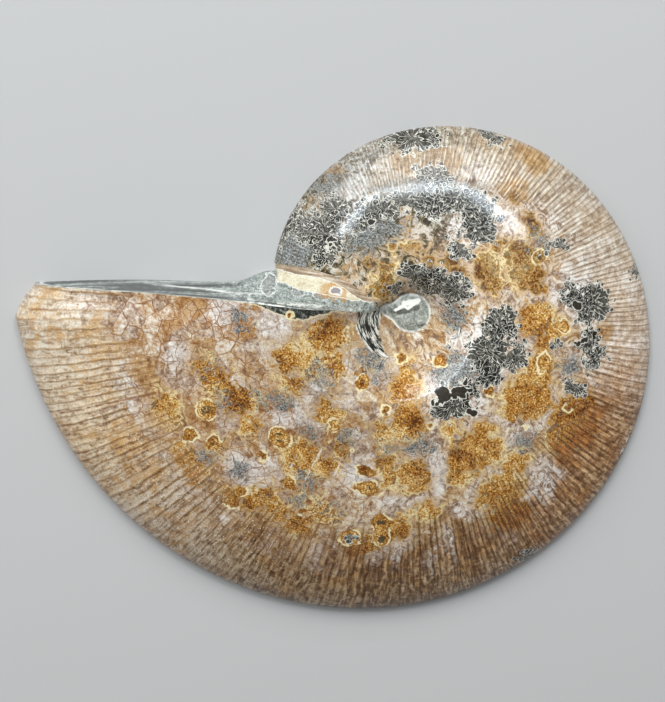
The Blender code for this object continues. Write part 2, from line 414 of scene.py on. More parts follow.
def layGrid(bm, layers):
    flat = bm.verts.layers.float_vector.new("flat")     # the flank rolled out flat, in mm
    rows, flankColumns = grid["rows"], grid["flankColumns"]
    room = rimRoom()
    ends = {}
    for row in range(rows + 1):
        start, end = mouthAngle(row), seamAngle(row)
        ends[row] = (start, end, flankPoint(row, end), flankPoint(row, start))
    for vert in bm.verts:
        column, row = vert.co.x, round(vert.co.y)
        start, end, atSeam, atEdge = ends[row]
        if column <= flankColumns:
            angle = start + column / flankColumns * (end - start)
            place = flankPoint(row, angle)
        else:
            share = ((column - flankColumns) / grid["faceColumns"]) ** grid["faceGather"]
            place = atEdge.copy() if share > 0.9999 else facePoint(row, share, atSeam, atEdge)
            angle = start
            vert[layers["faceShare"]] = share
        radius = hypot(place.x, place.y)
        vert[layers["faceRow"]] = row / rows
        vert[layers["gap"]] = (place.y - cutLine(place.x)) / mm
        vert[layers["share"]] = radius / wornRadius(angle)
        vert[layers["turn"]] = angle
        vert[layers["fromMouth"]] = angle - start
        vert[layers["ribPhase"]] = ribPhase(angle, radius / wornRadius(angle), place)
        rolled = (radius + room[row] * spiralRadius(angle)) / mm
        vert[flat] = (-rolled * cos(angle), -rolled * sin(angle), 0.0)
        vert.co = place
    print("laid along the coil")


# the stone's material slots
slots = {"shell": 0, "face": 1, "plug": 2, "back": 3}


def markSlots(bm, layers):
    for face in bm.faces:
        onFace = sum(vert[layers["faceShare"]] for vert in face.verts) > 0.0
        middle = sum(vert[layers["faceRow"]] for vert in face.verts) / len(face.verts) * grid["rows"]
        if middle < grid["plugRows"]:
            face.material_index = slots["plug"]
        elif onFace:
            face.material_index = slots["face"]


def raiseRibs(bm, layers):
    bm.normal_update()
    for vert in bm.verts:
        if vert[layers["faceShare"]] == 0.0 and vert[layers["share"]] > ribs["startShare"]:
            out = vert.normal.copy()
            if vert.co.z < 0.02 * mm:
                out.z = 0.0
            nearEdge = smoothStep(0.0, ribs["edgeFade"], vert[layers["fromMouth"]])
            relief = ribRelief(vert[layers["ribPhase"]], vert[layers["share"]], vert.co)
            vert.co += out * nearEdge * relief
    print("ribs", ribs["perTurn"], "a turn")


def closeStone(bm):
    for vert in bm.verts:
        vert.co.x += coil["centre"][0]
        vert.co.y += coil["centre"][1]
        vert.co.z = max(vert.co.z, 0.0)
    bmesh.ops.remove_doubles(bm, verts=bm.verts, dist=grid["mergeWithin"])
    rim = [edge for edge in bm.edges if edge.is_boundary]
    back = bmesh.ops.edgeloop_fill(bm, edges=rim)["faces"]
    for face in back:
        face.material_index = slots["back"]
    bmesh.ops.recalc_face_normals(bm, faces=bm.faces)
    for face in bm.faces:
        face.smooth = face.material_index != slots["back"]
    print("open edges", sum(not edge.is_manifold for edge in bm.edges))


def addObject(name, data):
    made = bpy.data.objects.new(name, data)
    bpy.context.collection.objects.link(made)
    return made


def makeStone():
    bm = makeGrid()
    names = ("share", "turn", "ribPhase", "gap", "faceShare", "faceRow", "fromMouth")
    layers = {name: bm.verts.layers.float.new(name) for name in names}
    layGrid(bm, layers)
    markSlots(bm, layers)
    raiseRibs(bm, layers)
    closeStone(bm)
    mesh = bpy.data.meshes.new("ammoniteStone")
    bm.to_mesh(mesh)
    bm.free()
    mesh.set_sharp_from_angle(angle=grid["sharpAngle"])
    addPatchFields(mesh)
    return addObject("ammoniteStone", mesh)


# node helpers: each adds one node and gives back its output

making = {}     # the node tree and the finish of the material being made


def addNode(kind):
    return making["tree"].nodes.new(kind)


def put(socket, value):
    if isinstance(value, bpy.types.NodeSocket):
        making["tree"].links.new(value, socket)
    elif value is not None:
        socket.default_value = value


def calc(operation, a, b=None, c=None, clamp=False):
    node = addNode("ShaderNodeMath")
    node.operation = operation
    node.use_clamp = clamp
    for socket, value in zip(node.inputs, (a, b, c)):
        put(socket, value)
    return node.outputs[0]


def vectorCalc(operation, a, b=None, scale=None):
    node = addNode("ShaderNodeVectorMath")
    node.operation = operation
    put(node.inputs[0], a)
    put(node.inputs[1], b)
    if scale is not None:
        put(node.inputs["Scale"], scale)
    return node.outputs["Value" if operation in ("LENGTH", "DOT_PRODUCT") else "Vector"]


def remap(value, low, high, toLow=0.0, toHigh=1.0, smooth=True):
    node = addNode("ShaderNodeMapRange")
    node.interpolation_type = "SMOOTHSTEP" if smooth else "LINEAR"
    given = {"Value": value, "From Min": low, "From Max": high, "To Min": toLow, "To Max": toHigh}
    for name, setting in given.items():
        put(node.inputs[name], setting)
    return node.outputs[0]


def between(mask, atNone, atFull, smooth=True):
    # one number where the mask is 0 and another where it is 1
    return remap(mask, 0.0, 1.0, atNone, atFull, smooth)


def named(value):
    # a colour or a ramp may be given by its name in the finish of the material being made
    return making["finish"][value] if isinstance(value, str) else value


def mix(factor, a, b, blend="MIX"):
    node = addNode("ShaderNodeMix")
    node.data_type = "RGBA"
    node.blend_type = blend
    put(node.inputs["Factor"], factor)
    for name, value in (("A", named(a)), ("B", named(b))):
        socket = next(one for one in node.inputs if one.name == name and one.type == "RGBA")
        put(socket, (*value, 1.0) if isinstance(value, tuple) else value)
    return next(one for one in node.outputs if one.type == "RGBA")


def tinted(colour, tint):
    return mix(1.0, colour, tint, "MULTIPLY")


def ramp(value, stops):
    node = addNode("ShaderNodeValToRGB")
    elements = node.color_ramp.elements
    stops = named(stops)
    while len(elements) < len(stops):
        elements.new(0.5)
    for element, (place, colour) in zip(elements, stops):
        element.position = place
        element.color = (*colour, 1.0)
    put(node.inputs["Fac"], value)
    return node.outputs["Color"]


def grain(vector, size, detail=3.0, rough=0.55, warp=0.0, colour=False, flat=True):
    # cloudy noise; size in the units of the vector
    node = addNode("ShaderNodeTexNoise")
    node.noise_dimensions = "2D" if flat else "3D"
    given = {"Vector": vector, "Scale": 1.0 / size, "Detail": detail, "Roughness": rough, "Distortion": warp}
    for name, value in given.items():
        put(node.inputs[name], value)
    return node.outputs["Color" if colour else "Fac"]


def cells(vector, size, feature="F1", output="Distance"):
    node = addNode("ShaderNodeTexVoronoi")
    node.voronoi_dimensions = "2D"
    node.feature = feature
    for name, value in {"Vector": vector, "Scale": 1.0 / size, "Randomness": 1.0}.items():
        put(node.inputs[name], value)
    return node.outputs[output]


def readField(name, output="Fac"):
    node = addNode("ShaderNodeAttribute")
    node.attribute_name = name
    return node.outputs[output]


def warped(vector, size, amount, detail=1.0):
    shove = vectorCalc("SUBTRACT", grain(vector, size, detail, colour=True), (0.5, 0.5, 0.5))
    return vectorCalc("ADD", vector, vectorCalc("SCALE", shove, scale=amount))


def lineAt(value, level, width):
    away = calc("ABSOLUTE", calc("SUBTRACT", value, level))
    return remap(away, 0.3 * width, width, 1.0, 0.0)


def newMaterial(name, finish):
    material = bpy.data.materials.new(name)
    material.use_nodes = True
    making.update(tree=material.node_tree, finish=finish)
    shader = material.node_tree.nodes["Principled BSDF"]
    for socket, value in finish["gloss"].items():
        shader.inputs[socket].default_value = value
    print("material", name)
    return material, shader


def byTurn(*stops):
    return tuple((degrees / 360.0, colour) for degrees, colour in stops)


def grey(*stops):
    # a curve of plain numbers, as the grey stops of a ramp
    return tuple((place, (value, value, value)) for place, value in stops)


# where one zone of the shell gives way to the next, in degrees of turn
zones = {
    "left": (55.0, 95.0),
    "cracked": (95.0, 130.0),
    "glowing": (110.0, 170.0),
    # from turn 180 to 210 the amber is painted darker, as painted shade where the lamps light the shell more
    # strongly
    "paintedShade": (180.0, 210.0),
    "top": (232.0, 262.0),
    "lowerLeft": (40.0, 85.0),
    "right": (140.0, 180.0),
}

# the shell's noises: size in mm, detail, roughness, warp, and a shift where two shouldn't coincide
shellNoises = {
    "fine": (0.70, 3.0, 0.85, 0.0, None),
    "speck": (0.42, 1.0, 0.7, 0.0, (40.0, 7.0, 0.0)),
    "medium": (1.8, 4.0, 0.6, 0.0, None),
    "cloud": (9.0, 3.0, 0.55, 0.5, None),
    "swirl": (3.0, 4.0, 0.65, 1.8, None),
}

shellFinish = {
    "gloss": {"Roughness": 0.50, "Coat Weight": 0.55, "Coat Roughness": 0.095, "Specular IOR Level": 0.12},
    "lobeSize": 2.1,            # mm, the round lobes along the edges of the patches
    "crackSizes": (3.9, 1.9),   # mm between the cracks in the calcite, wide and narrow
    "cream": ((0.05, (0.18, 0.085, 0.028)), (0.30, (0.33, 0.20, 0.09)), (0.50, (0.43, 0.30, 0.165)),
              (0.70, (0.53, 0.435, 0.30)), (0.95, (0.69, 0.64, 0.53))),
    "lilac": ((0.05, (0.18, 0.105, 0.06)), (0.30, (0.33, 0.25, 0.19)), (0.50, (0.48, 0.405, 0.345)),
              (0.70, (0.61, 0.56, 0.505)), (0.95, (0.77, 0.745, 0.715))),
    "left": ((0.05, (0.14, 0.050, 0.012)), (0.30, (0.28, 0.13, 0.042)), (0.50, (0.37, 0.21, 0.092)),
             (0.70, (0.49, 0.37, 0.25)), (0.95, (0.66, 0.60, 0.52))),
    "top": ((0.05, (0.030, 0.024, 0.013)), (0.30, (0.11, 0.085, 0.042)), (0.50, (0.24, 0.195, 0.12)),
            (0.70, (0.37, 0.345, 0.29)), (0.95, (0.58, 0.58, 0.55))),
    "pale": ((0.15, (0.40, 0.35, 0.31)), (0.50, (0.60, 0.56, 0.52)), (0.85, (0.76, 0.74, 0.71))),
    "blue": ((0.20, (0.020, 0.023, 0.022)), (0.50, (0.105, 0.112, 0.108)), (0.80, (0.36, 0.37, 0.35))),
    "amber": ((0.05, (0.065, 0.016, 0.002)), (0.30, (0.19, 0.062, 0.005)), (0.50, (0.33, 0.130, 0.015)),
              (0.70, (0.46, 0.235, 0.042)), (0.88, (0.59, 0.38, 0.125)), (1.00, (0.72, 0.57, 0.30))),
    "halo": (0.47, 0.295, 0.125),
    "amberEdge": (0.54, 0.34, 0.11),
    "amberRim": (0.76, 0.65, 0.38),
    "amberGlow": (0.60, 0.47, 0.25),
    "inclusion": (0.13, 0.105, 0.065),
    "dark": ((0.15, (0.005, 0.005, 0.004)), (0.50, (0.017, 0.015, 0.011)), (0.85, (0.10, 0.092, 0.075))),
    "ink": (0.022, 0.017, 0.011),
    "inkSpeck": (0.08, 0.07, 0.05),
    "suture": (0.66, 0.64, 0.56),
    "eyeLine": (0.20, 0.09, 0.02),
    "eyeCore": (0.04, 0.03, 0.015),
    "crack": (0.20, 0.080, 0.026),
    "stain": (0.42, 0.24, 0.09),
    "thread": (0.74, 0.70, 0.62),
    "strip": ((0.2, (0.010, 0.010, 0.007)), (0.55, (0.035, 0.037, 0.030)), (0.9, (0.30, 0.31, 0.27))),
    "stripEdge": (0.66, 0.56, 0.36),
    "streaks": ((0.40, (0.010, 0.010, 0.008)), (0.49, (0.06, 0.062, 0.052)), (0.53, (0.42, 0.41, 0.36)),
                (0.60, (0.70, 0.69, 0.63))),
    # the ribs; what is given by turn starts at the mouth and runs in degrees
    "crest": byTurn(
        (0, (0.455, 0.37, 0.275)), (20, (0.49, 0.355, 0.215)), (40, (0.37, 0.275, 0.19)),
        (55, (0.275, 0.19, 0.108)), (70, (0.325, 0.225, 0.125)), (90, (0.42, 0.30, 0.17)),
        (105, (0.46, 0.345, 0.225)), (125, (0.54, 0.35, 0.19)), (150, (0.55, 0.345, 0.17)),
        (160, (0.64, 0.49, 0.37)), (170, (0.84, 0.76, 0.68)), (195, (0.68, 0.63, 0.55)),
        (220, (0.57, 0.53, 0.46)), (236, (0.64, 0.60, 0.51)), (262, (0.40, 0.38, 0.315)),
        (287, (0.45, 0.46, 0.45)), (305, (0.24, 0.255, 0.245)), (325, (0.21, 0.24, 0.26))),
    "groove": byTurn(
        (0, (0.215, 0.108, 0.030)), (40, (0.14, 0.068, 0.021)), (70, (0.135, 0.062, 0.018)),
        (90, (0.125, 0.055, 0.016)), (125, (0.13, 0.058, 0.017)), (150, (0.15, 0.068, 0.022)),
        (170, (0.26, 0.165, 0.10)), (195, (0.25, 0.18, 0.12)), (220, (0.24, 0.17, 0.10)),
        (236, (0.24, 0.14, 0.065)), (262, (0.14, 0.105, 0.065)), (287, (0.17, 0.145, 0.11)),
        (325, (0.08, 0.08, 0.065))),
    # how far the ribs show over the shell's own pattern
    "shown": byTurn(*grey((0, 0.96), (238, 0.96), (258, 0.75), (285, 0.62), (305, 0.35), (340, 0.30))),
    # how strongly the shade of a rib varies
    "spread": byTurn(*grey((0, 0.80), (40, 1.0), (60, 1.1), (110, 1.05), (150, 0.95), (172, 0.60),
                           (240, 0.62), (290, 0.7), (320, 0.95))),
    # how far from the middle of a rib its groove starts
    "grooveFrom": byTurn(*grey((0, 0.60), (50, 0.53), (75, 0.40), (110, 0.36), (150, 0.46), (170, 0.56),
                               (230, 0.50), (335, 0.60))),
    # where broad brown bands run along the ribs
    "banded": byTurn(*grey((0, 0.0), (38, 0.2), (55, 1.0), (105, 1.0), (135, 0.5), (160, 0.0))),
    "ribShade": ((0.05, (0.26, 0.18, 0.12)), (0.30, (0.58, 0.49, 0.41)), (0.52, (0.98, 0.97, 0.96)),
              (0.72, (1.26, 1.36, 1.48)), (0.95, (1.50, 1.70, 1.95))),
    "rust": (0.80, 0.56, 0.28),
    "bandTint": (0.44, 0.28, 0.14),
    "brick": (1.9, 1.1),        # mm between the cracks across a rib, on the left and elsewhere
    # noises laid along the ribs: across in ribs and along in mm, how fine, then detail and roughness
    "streak": (2.4, 0.35, 3.0, 0.65),
    "lamina": (0.35, 1.6, 3.0, 0.7),
    "broad": (0.55, 0.06, 2.0, 0.6),
}


def toned(*parts):
    # noises with their weights, spread about one half
    total = 0.5 - 0.5 * sum(weight for value, weight in parts)
    for value, weight in parts:
        total = calc("MULTIPLY_ADD", value, weight, total)
    return total


def tonedBy(at, **weights):
    return toned(*((at[name], weight) for name, weight in weights.items()))


def centred(value, scale):
    return calc("MULTIPLY_ADD", value, scale, -0.5 * scale)


def less(a, b):
    return calc("SUBTRACT", a, b)


def offMiddle(value):
    # how far a running count is from the middle of its step
    return calc("ABSOLUTE", less(calc("FRACT", value), 0.5))


def chained(operation, values):
    total = values[0]
    for value in values[1:]:
        total = calc(operation, total, value)
    return total


def summed(*values):
    return chained("ADD", values)


def product(*values):
    return chained("MULTIPLY", values)


def highest(*values):
    return chained("MAXIMUM", values)


def laid(colour, layer, *masks):
    # a layer over a colour, as far as all the masks show it
    return mix(product(*masks), colour, layer)


def shaken(at, field, **weights):
    # a field moved to and fro by noises, each with its reach
    field = at[field] if isinstance(field, str) else field
    return summed(field, *(centred(at[name], weight) for name, weight in weights.items()))


def joined(x, y, z=0.0):
    node = addNode("ShaderNodeCombineXYZ")
    for socket, value in zip(node.inputs, (x, y, z)):
        put(socket, value)
    return node.outputs[0]


def parted(vector):
    node = addNode("ShaderNodeSeparateXYZ")
    put(node.inputs[0], vector)
    return node.outputs


def whiteNoise(x, y):
    node = addNode("ShaderNodeTexWhiteNoise")
    node.noise_dimensions = "2D"
    put(node.inputs["Vector"], joined(x, y))
    return node.outputs["Value"]


def inZone(at, name, before=0.0, after=1.0):
    start, end = (radians(degrees) for degrees in zones[name])
    return remap(at["turn"], start, end, before, after)


def shellFields():
    at = {"flat": readField("flat", "Vector"), "darkAway": readField("darkAway", "Vector")}
    for name in ("share", "turn", "ribPhase", *patches, *veins, "crescent", "wedge"):
        at[name] = readField(name)
    for name, (size, detail, rough, warp, shift) in shellNoises.items():
        place = vectorCalc("ADD", at["flat"], shift) if shift else at["flat"]
        at[name] = grain(place, size, detail, rough, warp)
    at["lobes"] = cells(warped(at["flat"], 2.4, 1.2), shellFinish["lobeSize"])
    at["left"] = inZone(at, "left", 1.0, 0.0)
    at["top"] = inZone(at, "top")
    return at


def calciteLayer(at):
    fibre = calc("PINGPONG", product(at["swirl"], 9.0), 1.0)
    wideSize, narrowSize = shellFinish["crackSizes"]
    bent = warped(at["flat"], 4.0, 2.0, 2.0)
    at["cell"] = cells(bent, wideSize, output="Color")
    cellWeight = calc("MULTIPLY_ADD", at["left"], 0.55, 0.15)
    calm = between(at["left"], 1.0, 0.30)
    tone = summed(tonedBy(at, medium=1.3, fine=1.3),
                  product(summed(centred(at["swirl"], 2.0), centred(fibre, 0.42)), calm),
                  product(centred(at["cell"], 1.0), cellWeight))
    warm = remap(shaken(at, "cloud", medium=0.5, cell=0.12), 0.40, 0.55)
    colour = mix(warm, ramp(tone, "lilac"), ramp(tone, "cream"))
    leftPart = product(at["left"], remap(shaken(at, "share", cloud=0.5), 0.28, 0.44))
    brown = product(leftPart, remap(shaken(at, "cloud", cell=0.25), 0.40, 0.56, 0.25, 1.0))
    colour = mix(brown, colour, ramp(tone, "left"))
    topTone = summed(tone, product(centred(at["cloud"], 1.6), at["top"]))
    colour = mix(at["top"], colour, ramp(topTone, "top"))
    stain = product(remap(at["cloud"], 0.50, 0.64), remap(at["medium"], 0.38, 0.58))
    colour = laid(colour, "stain", stain, 0.75)
    colour = threadLayer(at, colour, calm)
    wide = remap(cells(bent, wideSize, "DISTANCE_TO_EDGE"), 0.010, 0.036, 1.0, 0.0)
    narrow = remap(cells(bent, narrowSize, "DISTANCE_TO_EDGE"), 0.02, 0.07, 0.8, 0.0)
    narrow = product(narrow, remap(at["cloud"], 0.46, 0.56))
    shown = highest(leftPart, inZone(at, "cracked", 0.50, 0.12))
    at["cracks"] = product(highest(wide, narrow), shown, remap(at["medium"], 0.34, 0.50, 0.55, 1.0))
    return colour, tone


def threadLayer(at, colour, calm):
    # thin brown fibres that follow the outlines of the amber, and thin white and brown ones between them
    along = calc("PINGPONG", shaken(at, "amber", swirl=3.5), 0.6)
    lines = product(remap(along, 0.45, 0.56), remap(at["medium"], 0.42, 0.58),
                    remap(at["amber"], -4.5, -1.0))
    colour = laid(colour, "crack", lines, 0.6)
    pale = product(lineAt(at["swirl"], 0.47, 0.012), remap(at["medium"], 0.44, 0.60), calm)
    colour = laid(colour, "thread", pale, 0.8)
    brown = product(lineAt(at["swirl"], 0.55, 0.010), remap(at["medium"], 0.55, 0.40))
    return laid(colour, "crack", brown, 0.6)


def paleAndBlue(at, colour, tone):
    pale = shaken(at, "pale", swirl=9.0, medium=3.0)
    colour = mix(remap(pale, -1.0, 2.2, 0.0, 0.80), colour, ramp(tone, "pale"))
    blue = shaken(at, "blue", swirl=11.0, medium=6.0)
    at["blueShown"] = remap(blue, -0.2, 1.6, 0.0, 0.92)
    at["hair"] = calc("PINGPONG", product(at["swirl"], 22.0), 1.0)
    at["blueTone"] = ramp(tonedBy(at, speck=1.2, hair=0.7, fine=0.8), "blue")
    colour = mix(at["blueShown"], colour, at["blueTone"])
    return laid(colour, "crack", at["cracks"])


def amberField(at):
    lift = calc("MULTIPLY_ADD", at["lobes"], -2.2, 0.92)
    ragged = product(centred(at["swirl"], 8.0), calc("MULTIPLY_ADD", at["left"], 0.7, 0.3))
    return summed(shaken(at, summed(at["amber"], lift), medium=3.4, cloud=3.0), ragged)


def amberLayer(at, colour, field, body):
    tone = tonedBy(at, fine=1.2, speck=1.5, medium=1.0, cloud=1.6)
    amber = ramp(tone, "amber")
    # painted shade: from turn 180 to 210 the amber is darkened to 0.54 of its colour
    at["amberTone"] = vectorCalc("SCALE", amber, scale=inZone(at, "paintedShade", 1.0, 0.54))
    haze = product(remap(field, -5.0, -0.2), remap(at["swirl"], 0.42, 0.58, 0.1, 0.75))
    colour = mix(haze, colour, mix(0.45, colour, "halo"))
    halo = product(remap(field, -1.6, 0.1), remap(at["swirl"], 0.40, 0.60, 0.2, 0.9))
    colour = laid(colour, "halo", halo, 0.80)
    inner = laid(at["amberTone"], "amberEdge", remap(field, 1.1, 0.1, 0.0, 0.55))
    inner = laid(inner, "inclusion", remap(at["swirl"], 0.57, 0.66, 0.0, 0.7))
    inner = laid(inner, "halo", remap(at["swirl"], 0.42, 0.36, 0.0, 0.6))
    colour = mix(body, colour, inner)
    glow = product(remap(field, -1.3, -0.1), remap(field, 0.7, 0.0), remap(at["cloud"], 0.46, 0.56),
                   inZone(at, "glowing", 1.0, 0.35))
    colour = laid(colour, "amberGlow", glow, 0.60)
    rim = product(lineAt(field, 0.0, 0.28), remap(at["cloud"], 0.48, 0.57))
    return laid(colour, "amberRim", rim, 0.75)


def eyeLayer(at, colour):
    # oval spots, each with a pale rim that is broken on one side
    field = shaken(at, "eye", cloud=4.0, swirl=1.5)
    broken = grain(vectorCalc("ADD", at["flat"], (5.0, 60.0, 0.0)), 3.2, 0.0)
    broken = remap(broken, 0.40, 0.55, 0.0, 0.9)
    colour = mix(remap(field, 0.0, 0.2), colour, at["amberTone"])
    colour = laid(colour, "eyeLine", lineAt(field, 0.42, 0.20), 0.75)
    core = product(remap(field, 1.20, 1.60), remap(at["swirl"], 0.42, 0.56, 0.25, 0.9))
    colour = laid(colour, "eyeCore", core)
    return laid(colour, "amberRim", lineAt(field, 0.0, 0.36), broken)


def sutureLines(at):
    # curled lines, and rays that run out from the middle of each dark patch
    curled = warped(at["flat"], 1.5, 1.3)
    shifted = vectorCalc("ADD", curled, (13.0, 31.0, 0.0))
    curls = highest(lineAt(grain(curled, 1.15, 0.0), 0.5, 0.040),
                    lineAt(grain(shifted, 0.85, 0.0), 0.5, 0.034))
    awayX, awayY, _ = parted(at["darkAway"])
    spin = calc("ARCTAN2", awayY, awayX)
    far = vectorCalc("LENGTH", at["darkAway"])
    spokes = warped(joined(product(spin, 4.0), product(far, 0.45)), 1.3, 0.9)
    rays = lineAt(grain(spokes, 1.0, 0.0), 0.5, 0.055)
    threads = mix(remap(shaken(at, "cloud", medium=0.3), 0.44, 0.54), curls, rays)
    return product(threads, remap(at["fine"], 0.36, 0.52, 0.2, 1.0))


def darkLayer(at, colour):
    lift = calc("MULTIPLY_ADD", at["lobes"], -3.0, 1.25)
    field = shaken(at, summed(at["dark"], lift), medium=3.6)
    inner = ramp(tonedBy(at, medium=1.2, fine=1.0, cloud=1.2), "dark")
    rings = product(lineAt(at["lobes"], 0.30, 0.040), remap(field, 1.7, 0.6))
    inner = laid(inner, "suture", highest(sutureLines(at), rings))
    colour = mix(remap(field, -0.10, 0.15), colour, inner)
    edge = product(lineAt(field, -0.05, 0.18), remap(at["swirl"], 0.40, 0.55, 0.2, 0.8))
    return laid(colour, "suture", edge)


def inkLayer(at, colour):
    lift = calc("MULTIPLY_ADD", at["lobes"], -2.4, 1.0)
    field = shaken(at, summed(at["ink"], lift), medium=2.4)
    shade = mix(remap(at["fine"], 0.55, 0.75), "ink", "inkSpeck")
    colour = mix(remap(field, -0.05, 0.15), colour, shade)
    return laid(colour, "suture", lineAt(field, -0.05, 0.22), 0.85)


def ribNoise(at, name):
    across, along, detail, rough = shellFinish[name]
    place = joined(product(at["rib"], across), product(at["out"], along))
    return grain(place, 1.0, detail, rough)


def ribFields(at):
    at["rib"] = summed(at["ribPhase"], 0.5)
    at["turn01"] = product(at["turn"], 1.0 / (2 * pi))
    reach = calc("EXPONENT", product(at["turn"], -coil["shrinkPerRadian"]))
    at["out"] = product(at["share"], reach, coil["mouthRadius"] / mm)       # mm from the coil's centre
    at["lowerLeft"] = inZone(at, "lowerLeft", 1.0, 0.0)
    at["right"] = product(inZone(at, "right"), less(1.0, at["top"]))
    at["bottom"] = ramp(at["turn01"], "banded")
    at["shown"] = ramp(at["turn01"], "shown")
    number = calc("FLOOR", at["rib"])
    at["ribTone"] = whiteNoise(number, 3.0)
    at["begin"] = shaken(at, "share", ribTone=0.07, cloud=0.34, medium=0.16)
    # cracks across the ribs: on the left each rib has its own
    tight, loose = (1.0 / size for size in reversed(shellFinish["brick"]))
    along = summed(product(at["out"], between(at["lowerLeft"], tight, loose)),
                   product(at["ribTone"], between(at["lowerLeft"], 0.6, 9.0)))
    at["brick"] = shaken(at, along, medium=4.5, fine=1.2)
    at["brickTone"] = whiteNoise(number, calc("FLOOR", at["brick"]))
    for name in ("streak", "lamina", "broad"):
        at[name] = ribNoise(at, name)


def ribGrooves(at):
    # the grooves between the ribs with the cracks across them, and the place across each rib
    steady = product(between(at["lowerLeft"], 1.0, 0.45), between(at["bottom"], 1.0, 0.42),
                     between(highest(at["right"], at["top"]), 1.0, 0.45))
    shake = product(steady, summed(centred(at["medium"], 0.5), centred(at["fine"], 0.25)))
    across = summed(product(offMiddle(at["rib"]), 2.0), shake)
    low = summed(ramp(at["turn01"], "grooveFrom"), remap(at["share"], 0.72, 0.95, 0.0, 0.06))
    high = summed(low, 0.24, product(at["bottom"], 0.24))
    grooveTone = whiteNoise(calc("FLOOR", at["ribPhase"]), 9.0)
    fading = product(remap(at["share"], 0.80, 0.97, 1.0, between(at["bottom"], 0.75, 0.60)),
                     between(grooveTone, 0.55, 1.0, False))
    broken = remap(at["streak"], 0.34, 0.50, between(at["lowerLeft"], 0.40, 0.80), 1.0)
    grooved = product(remap(across, low, high), fading, broken, remap(at["begin"], 0.665, 0.745))
    cracked = product(remap(offMiddle(at["brick"]), 0.40, 0.48), remap(at["brickTone"], 0.30, 0.60, 0.1,
                                                                       0.8), between(at["lowerLeft"], 0.12,
                                                                                     0.9), remap(at["begin"],
                                                                                                 0.69, 0.77))
    return highest(grooved, cracked), across


def ribShade(at):
    at["leftBrick"] = product(at["brickTone"], at["lowerLeft"])
    tone = tonedBy(at, leftBrick=0.40, ribTone=0.20, streak=1.5, lamina=0.4, fine=1.2, swirl=0.9, medium=0.8)
    plainer = summed(centred(at["streak"], -0.8), centred(at["fine"], -0.5))
    tone = summed(tone, product(centred(at["fine"], -0.8), at["bottom"]), product(plainer, at["right"]))
    tone = product(less(tone, 0.5), ramp(at["turn01"], "spread"))
    tone = summed(tone, 0.5, product(at["lowerLeft"], 0.20))
    return ramp(tone, "ribShade")


def ribCrests(at, shade, amberBody):
    # the tops of the ribs: rusty in clouds, golden and banded with brown at the bottom
    crest = tinted(ramp(at["turn01"], "crest"), shade)
    rust = summed(shaken(at, "cloud", swirl=0.8, fine=0.4),
                  product(centred(at["brickTone"], 0.10), at["lowerLeft"]))
    rusty = product(remap(rust, 0.46, 0.68), between(at["top"], 0.85, 0.4), between(at["right"], 1.0, 0.35))
    golden = product(at["bottom"], remap(shaken(at, "share", cloud=0.3), 0.90, 0.76), 0.75)
    crest = mix(highest(rusty, golden), crest, tinted(crest, "rust"))
    banded = product(at["bottom"], remap(at["broad"], 0.46, 0.62),
                     remap(shaken(at, "share", broad=0.2), 0.93, 0.78))
    crest = mix(product(banded, 0.9), crest, tinted(crest, "bandTint"))
    return mix(product(amberBody, 0.9), crest, tinted(crest, "rust"))


def ribLayer(at, colour, amberBody):
    ribFields(at)
    grooves, across = ribGrooves(at)
    shade = ribShade(at)
    crest = ribCrests(at, shade, amberBody)
    groove = tinted(ramp(at["turn01"], "groove"), shade)
    colour = mix(product(remap(at["begin"], 0.69, 0.84), at["shown"]), colour, crest)
    colour = mix(product(grooves, at["shown"]), colour, groove)
    # pale specks in rows along the ribs, and painted highlights: white glints along the rib crests on the
    # right and at the top
    dotted = product(remap(at["speck"], 0.58, 0.68), remap(at["streak"], 0.48, 0.56),
                     remap(at["begin"], 0.72, 0.80), between(at["lowerLeft"], 0.12, 0.70))
    # painted highlight: white glints on the rib crests, laid in the pale thread colour
    glint = product(remap(across, 0.30, 0.08), remap(at["streak"], 0.50, 0.60),
                    remap(at["begin"], 0.70, 0.76), remap(at["share"], 0.86, 0.93, 1.0, 0.0),
                    highest(at["right"], product(at["top"], at["shown"])))
    return laid(colour, "thread", highest(dotted, product(glint, 0.8)))


def veinLayer(at, colour):
    shake = summed(centred(at["medium"], 0.9), centred(at["fine"], 0.3))
    brown = remap(summed(at["brownVein"], shake), -0.10, 0.12, 0.0, 0.85)
    colour = laid(colour, "crack", brown)
    ragged = product(shake, remap(at["share"], 0.70, 0.95, 0.4, 2.0))
    pale = remap(summed(at["paleVein"], ragged), -0.10, 0.12, 0.0, 0.80)
    return laid(colour, "thread", pale)


def crescentLayer(at, colour):
    # the glossy dark strip along the mouth, and the streaks that run from it into the funnel
    field = shaken(at, "crescent", medium=1.6)
    strip = ramp(tonedBy(at, fine=1.6, medium=1.0), "strip")
    colour = mix(remap(field, 0.0, 0.3), colour, strip)
    colour = laid(colour, "stripEdge", lineAt(field, -0.05, 0.3), 0.8)
    drawn = warped(joined(product(at["share"], 170.0), product(at["turn"], 3.0)), 1.6, 0.9)
    streaks = ramp(grain(drawn, 1.0, 3.0, 0.7), "streaks")
    return mix(remap(shaken(at, "wedge", medium=2.6), -0.2, 0.3), colour, streaks)


def shellMaterial():
    material, shader = newMaterial("agatizedShell", shellFinish)
    at = shellFields()
    colour, tone = calciteLayer(at)
    colour = paleAndBlue(at, colour, tone)
    field = amberField(at)
    body = remap(field, -0.10, 0.22)
    colour = amberLayer(at, colour, field, body)
    fibres = product(at["blueShown"], remap(at["medium"], 0.42, 0.56, 0.25, 0.80))
    colour = mix(fibres, colour, at["blueTone"])
    colour = ribLayer(at, colour, remap(field, -1.0, 1.2))
    for layer in (crescentLayer, eyeLayer, veinLayer, darkLayer, inkLayer):
        colour = layer(at, colour)
    put(shader.inputs["Base Color"], colour)
    polish = tonedBy(at, fine=1.6, swirl=1.2, medium=0.8)
    put(shader.inputs["Coat Weight"], remap(polish, 0.28, 0.60, 0.34, 0.66))
    return material


